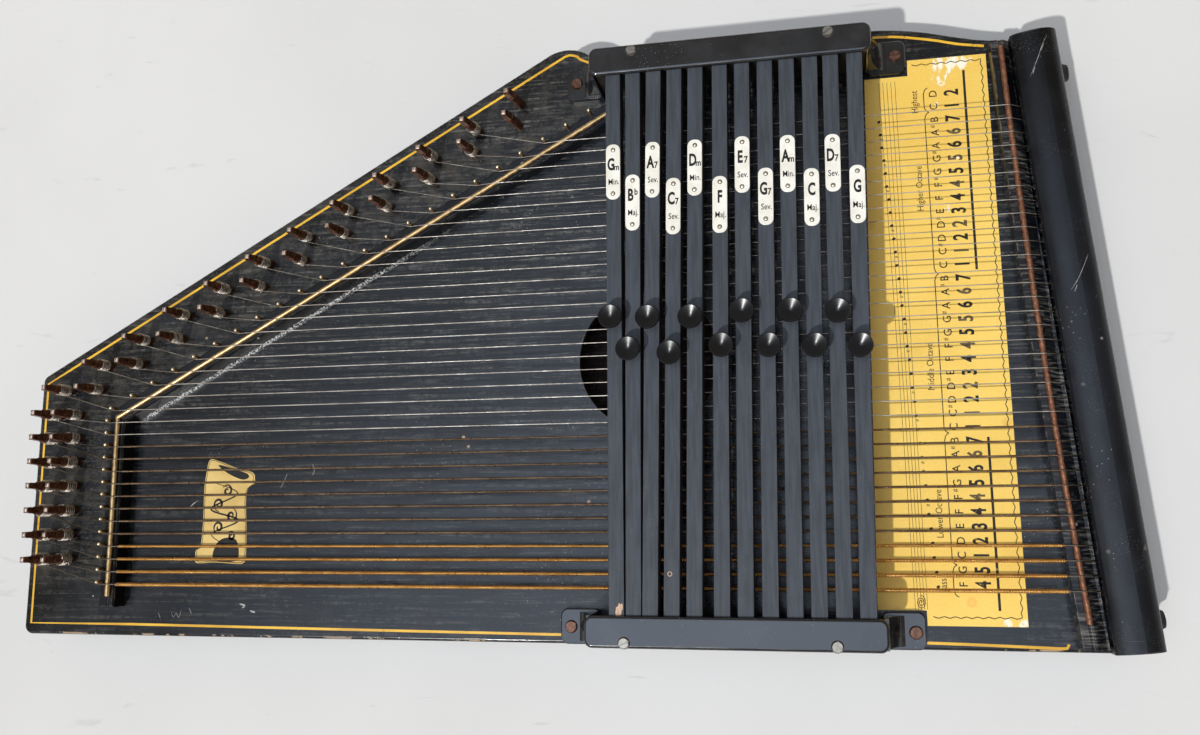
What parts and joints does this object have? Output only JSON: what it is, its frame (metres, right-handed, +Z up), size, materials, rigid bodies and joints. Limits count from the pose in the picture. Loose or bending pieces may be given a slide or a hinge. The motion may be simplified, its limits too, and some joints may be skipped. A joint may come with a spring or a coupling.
{
  "type": "chorded zither",
  "caption": "Flat black wooden zither with a slanted pin side, two bridges, stretched strings, spring-loaded chord bars with buttons in two holders, a printed note chart and an end cover.",
  "frame": {"origin": "centre of the footprint of the instrument lying on its back, on the surface it rests on", "axes": "+X along the strings toward the hitch-pin end, +Y toward the treble side, +Z up out of the soundboard"},
  "size_m": [0.5732, 0.3038, 0.0695],
  "materials": {
    "black_lacquer": "glossy black lacquer over wood, worn",
    "black_trim": "satin black",
    "steel_wire": "worn steel",
    "rusty_rod": "rusty copper-coloured rod",
    "pin_steel": "rust-brown steel",
    "brass_nail": "aged brass",
    "copper_winding": "copper winding",
    "bronze_winding": "dull bronze winding",
    "string_steel": "bright steel wire",
    "chart_paper": "yellowed paper",
    "rubber_feet": "matte rubber",
    "comb_wood": "dark wood",
    "holder_gloss": "gloss black enamel",
    "screw_steel": "aged steel",
    "bar_wood": "dark painted wood",
    "felt": "pressed felt",
    "button_black": "polished black"
  },
  "bodies": {
    "sound_box": {"back_panel": "black_lacquer", "soundboard": "black_lacquer", "pin_block": "black_lacquer", "anchor_block": "black_lacquer", "bass_rail": "black_lacquer", "treble_rail": "black_lacquer", "left_bridge_rail": "black_trim", "left_bridge_wire": "steel_wire", "right_bridge_rail": "black_trim", "right_bridge_rod": "rusty_rod", "tuning_pins": "pin_steel", "guide_pins": "brass_nail", "hitch_pins": "pin_steel", "strings_bass": "copper_winding", "strings_wound": "bronze_winding", "strings_plain": "string_steel", "note_chart": "chart_paper", "end_cover": "black_trim", "end_feet": "rubber_feet", "bass_comb": "comb_wood", "treble_comb": "comb_wood", "bass_holder": "holder_gloss", "treble_holder": "holder_gloss", "holder_screws": "screw_steel"},
    "bar_01": {"chord_bar_01": "bar_wood", "felt_01": "felt", "button_01": "button_black"},
    "bar_02": {"chord_bar_02": "bar_wood", "felt_02": "felt", "button_02": "button_black"},
    "bar_03": {"chord_bar_03": "bar_wood", "felt_03": "felt", "button_03": "button_black"},
    "bar_04": {"chord_bar_04": "bar_wood", "felt_04": "felt", "button_04": "button_black"},
    "bar_05": {"chord_bar_05": "bar_wood", "felt_05": "felt", "button_05": "button_black"},
    "bar_06": {"chord_bar_06": "bar_wood", "felt_06": "felt", "button_06": "button_black"},
    "bar_07": {"chord_bar_07": "bar_wood", "felt_07": "felt", "button_07": "button_black"},
    "bar_08": {"chord_bar_08": "bar_wood", "felt_08": "felt", "button_08": "button_black"},
    "bar_09": {"chord_bar_09": "bar_wood", "felt_09": "felt", "button_09": "button_black"},
    "bar_10": {"chord_bar_10": "bar_wood", "felt_10": "felt", "button_10": "button_black"},
    "bar_11": {"chord_bar_11": "bar_wood", "felt_11": "felt", "button_11": "button_black"},
    "bar_12": {"chord_bar_12": "bar_wood", "felt_12": "felt", "button_12": "button_black"}
  },
  "joints": [
    {"name": "press_bar_01", "type": "slide", "parent": "sound_box", "child": "bar_01", "axis": [0, 0, -1], "range_m": [0, 0.003], "stiffness_N_per_m": 260, "springref_m": -0.0012},
    {"name": "press_bar_02", "type": "slide", "parent": "sound_box", "child": "bar_02", "axis": [0, 0, -1], "range_m": [0, 0.003], "stiffness_N_per_m": 260, "springref_m": -0.0012},
    {"name": "press_bar_03", "type": "slide", "parent": "sound_box", "child": "bar_03", "axis": [0, 0, -1], "range_m": [0, 0.003], "stiffness_N_per_m": 260, "springref_m": -0.0012},
    {"name": "press_bar_04", "type": "slide", "parent": "sound_box", "child": "bar_04", "axis": [0, 0, -1], "range_m": [0, 0.003], "stiffness_N_per_m": 260, "springref_m": -0.0012},
    {"name": "press_bar_05", "type": "slide", "parent": "sound_box", "child": "bar_05", "axis": [0, 0, -1], "range_m": [0, 0.003], "stiffness_N_per_m": 260, "springref_m": -0.0012},
    {"name": "press_bar_06", "type": "slide", "parent": "sound_box", "child": "bar_06", "axis": [0, 0, -1], "range_m": [0, 0.003], "stiffness_N_per_m": 260, "springref_m": -0.0012},
    {"name": "press_bar_07", "type": "slide", "parent": "sound_box", "child": "bar_07", "axis": [0, 0, -1], "range_m": [0, 0.003], "stiffness_N_per_m": 260, "springref_m": -0.0012},
    {"name": "press_bar_08", "type": "slide", "parent": "sound_box", "child": "bar_08", "axis": [0, 0, -1], "range_m": [0, 0.003], "stiffness_N_per_m": 260, "springref_m": -0.0012},
    {"name": "press_bar_09", "type": "slide", "parent": "sound_box", "child": "bar_09", "axis": [0, 0, -1], "range_m": [0, 0.003], "stiffness_N_per_m": 260, "springref_m": -0.0012},
    {"name": "press_bar_10", "type": "slide", "parent": "sound_box", "child": "bar_10", "axis": [0, 0, -1], "range_m": [0, 0.003], "stiffness_N_per_m": 260, "springref_m": -0.0012},
    {"name": "press_bar_11", "type": "slide", "parent": "sound_box", "child": "bar_11", "axis": [0, 0, -1], "range_m": [0, 0.003], "stiffness_N_per_m": 260, "springref_m": -0.0012},
    {"name": "press_bar_12", "type": "slide", "parent": "sound_box", "child": "bar_12", "axis": [0, 0, -1], "range_m": [0, 0.003], "stiffness_N_per_m": 260, "springref_m": -0.0012}
  ]
}
